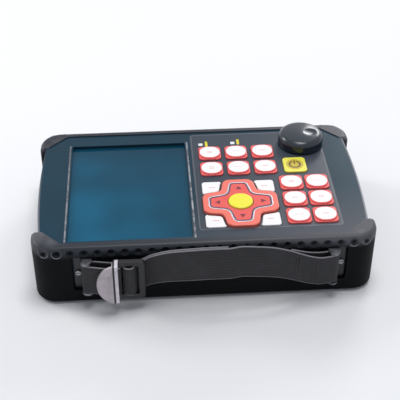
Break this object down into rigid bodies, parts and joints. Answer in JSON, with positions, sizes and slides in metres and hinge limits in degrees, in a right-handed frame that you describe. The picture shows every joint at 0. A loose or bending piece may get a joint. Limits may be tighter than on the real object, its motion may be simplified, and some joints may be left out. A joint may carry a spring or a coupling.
{
  "type": "ultrasonic flaw detector",
  "caption": "Landscape portable ultrasonic flaw detector: recessed screen, keypad with cross pad, round knob, rubber boot, hand strap and folding stand.",
  "frame": {"origin": "middle of the bounding box at the table, under the rubber feet", "axes": "+X along the housing towards the keys, +Y across it away from the hand strap, +Z out of the front panel"},
  "size_m": [0.245, 0.1688, 0.0599],
  "materials": {
    "housing_plastic": "satin moulded",
    "back_plastic": "fine moulded grain",
    "boot_rubber": "smooth satin",
    "seal_rubber": "matte",
    "trim_metal": "satin",
    "keypad_film": "gloss",
    "screen_glass": "polished",
    "display_panel": "dark display",
    "bracket_steel": "sheet",
    "screw_steel": "machined",
    "mat_silicone": "matte",
    "circuit_board": "solder mask",
    "light_pipe": "clear moulded",
    "encoder_plastic": "moulded",
    "battery_wrap": "shrink sleeve",
    "anchor_metal": "dark plated",
    "buckle_plastic": "moulded",
    "strap_fabric": "woven webbing",
    "socket_metal": "nickel plated",
    "knob_plastic": "gloss",
    "stand_plastic": "moulded",
    "pad_rubber": "glossy moulded",
    "enter_plastic": "glossy",
    "power_plastic": "glossy",
    "key_caps": "two-colour moulded",
    "corner_caps": "glossy"
  },
  "bodies": {
    "housing": {"front_shell": "housing_plastic", "rear_shell": "back_plastic", "case_seal": "seal_rubber", "protective_boot": "boot_rubber", "panel_trim": "trim_metal", "keypad_overlay": "keypad_film", "screen_window": "screen_glass", "window_gasket": "seal_rubber", "lcd_module": "display_panel", "lcd_bracket": "bracket_steel", "lcd_screws": "screw_steel", "keypad_mat": "mat_silicone", "keypad_board": "circuit_board", "keypad_board_screws": "screw_steel", "pilot_lights": "light_pipe", "rotary_encoder": "encoder_plastic", "encoder_nut": "screw_steel", "main_board": "circuit_board", "board_shield": "bracket_steel", "buzzer": "encoder_plastic", "main_board_screws": "screw_steel", "case_screws": "screw_steel", "battery_pack": "battery_wrap", "battery_door": "back_plastic", "battery_door_screws": "screw_steel", "rubber_feet": "seal_rubber", "strap_anchor_left": "anchor_metal", "strap_anchor_right": "anchor_metal", "anchor_screws": "screw_steel", "strap_buckle": "buckle_plastic", "strap_loop": "strap_fabric", "strap_webbing": "strap_fabric", "probe_socket_1": "socket_metal", "probe_socket_2": "socket_metal", "data_port": "socket_metal", "charge_jack": "encoder_plastic"},
    "upper_key_1": {"upper_key_1": "key_caps"},
    "upper_key_2": {"upper_key_2": "key_caps"},
    "upper_key_3": {"upper_key_3": "key_caps"},
    "upper_key_4": {"upper_key_4": "key_caps"},
    "upper_key_5": {"upper_key_5": "key_caps"},
    "upper_key_6": {"upper_key_6": "key_caps"},
    "side_key_1": {"side_key_1": "key_caps"},
    "side_key_2": {"side_key_2": "key_caps"},
    "side_key_3": {"side_key_3": "key_caps"},
    "side_key_4": {"side_key_4": "key_caps"},
    "side_key_5": {"side_key_5": "key_caps"},
    "side_key_6": {"side_key_6": "key_caps"},
    "corner_key_1": {"corner_key_1": "corner_caps"},
    "corner_key_2": {"corner_key_2": "corner_caps"},
    "corner_key_3": {"corner_key_3": "corner_caps"},
    "corner_key_4": {"corner_key_4": "corner_caps"},
    "enter_key": {"enter_key": "enter_plastic"},
    "power_key": {"power_key": "power_plastic"},
    "rocker_ring": {"rocker_ring": "encoder_plastic"},
    "direction_pad": {"direction_pad": "pad_rubber"},
    "knob": {"adjust_knob": "knob_plastic", "encoder_shaft": "screw_steel"},
    "tilt_stand": {"tilt_stand": "stand_plastic"}
  },
  "joints": [
    {"name": "upper_key_1_press", "type": "slide", "parent": "housing", "child": "upper_key_1", "axis": [0, 0, -1], "range_m": [0, 0.0008], "stiffness_N_per_m": 1200},
    {"name": "upper_key_2_press", "type": "slide", "parent": "housing", "child": "upper_key_2", "axis": [0, 0, -1], "range_m": [0, 0.0008], "stiffness_N_per_m": 1200},
    {"name": "upper_key_3_press", "type": "slide", "parent": "housing", "child": "upper_key_3", "axis": [0, 0, -1], "range_m": [0, 0.0008], "stiffness_N_per_m": 1200},
    {"name": "upper_key_4_press", "type": "slide", "parent": "housing", "child": "upper_key_4", "axis": [0, 0, -1], "range_m": [0, 0.0008], "stiffness_N_per_m": 1200},
    {"name": "upper_key_5_press", "type": "slide", "parent": "housing", "child": "upper_key_5", "axis": [0, 0, -1], "range_m": [0, 0.0008], "stiffness_N_per_m": 1200},
    {"name": "upper_key_6_press", "type": "slide", "parent": "housing", "child": "upper_key_6", "axis": [0, 0, -1], "range_m": [0, 0.0008], "stiffness_N_per_m": 1200},
    {"name": "side_key_1_press", "type": "slide", "parent": "housing", "child": "side_key_1", "axis": [0, 0, -1], "range_m": [0, 0.0008], "stiffness_N_per_m": 1200},
    {"name": "side_key_2_press", "type": "slide", "parent": "housing", "child": "side_key_2", "axis": [0, 0, -1], "range_m": [0, 0.0008], "stiffness_N_per_m": 1200},
    {"name": "side_key_3_press", "type": "slide", "parent": "housing", "child": "side_key_3", "axis": [0, 0, -1], "range_m": [0, 0.0008], "stiffness_N_per_m": 1200},
    {"name": "side_key_4_press", "type": "slide", "parent": "housing", "child": "side_key_4", "axis": [0, 0, -1], "range_m": [0, 0.0008], "stiffness_N_per_m": 1200},
    {"name": "side_key_5_press", "type": "slide", "parent": "housing", "child": "side_key_5", "axis": [0, 0, -1], "range_m": [0, 0.0008], "stiffness_N_per_m": 1200},
    {"name": "side_key_6_press", "type": "slide", "parent": "housing", "child": "side_key_6", "axis": [0, 0, -1], "range_m": [0, 0.0008], "stiffness_N_per_m": 1200},
    {"name": "corner_key_1_press", "type": "slide", "parent": "housing", "child": "corner_key_1", "axis": [0, 0, -1], "range_m": [0, 0.0008], "stiffness_N_per_m": 1200},
    {"name": "corner_key_2_press", "type": "slide", "parent": "housing", "child": "corner_key_2", "axis": [0, 0, -1], "range_m": [0, 0.0008], "stiffness_N_per_m": 1200},
    {"name": "corner_key_3_press", "type": "slide", "parent": "housing", "child": "corner_key_3", "axis": [0, 0, -1], "range_m": [0, 0.0008], "stiffness_N_per_m": 1200},
    {"name": "corner_key_4_press", "type": "slide", "parent": "housing", "child": "corner_key_4", "axis": [0, 0, -1], "range_m": [0, 0.0008], "stiffness_N_per_m": 1200},
    {"name": "enter_key_press", "type": "slide", "parent": "housing", "child": "enter_key", "axis": [0, 0, -1], "range_m": [0, 0.0008], "stiffness_N_per_m": 1200},
    {"name": "power_key_press", "type": "slide", "parent": "housing", "child": "power_key", "axis": [0, 0, -1], "range_m": [0, 0.0008], "stiffness_N_per_m": 1200},
    {"name": "pad_tip_across", "type": "hinge", "parent": "housing", "child": "rocker_ring", "pos_m": [0.0281, -0.02485, 0.0455], "axis": [0, 1, 0], "range_deg": [-2, 2], "stiffness_Nm_per_rad": 1},
    {"name": "pad_tip_along", "type": "hinge", "parent": "rocker_ring", "child": "direction_pad", "pos_m": [0.0281, -0.02485, 0.0475], "axis": [1, 0, 0], "range_deg": [-2, 2], "stiffness_Nm_per_rad": 1},
    {"name": "knob_turn", "type": "hinge", "parent": "housing", "child": "knob", "pos_m": [0.083, 0.05095, 0.055], "axis": [0, 0, 1], "continuous": true},
    {"name": "stand_fold", "type": "hinge", "parent": "housing", "child": "tilt_stand", "pos_m": [0, 0.04595, 0.006], "axis": [1, 0, 0], "range_deg": [0, 80]}
  ]
}
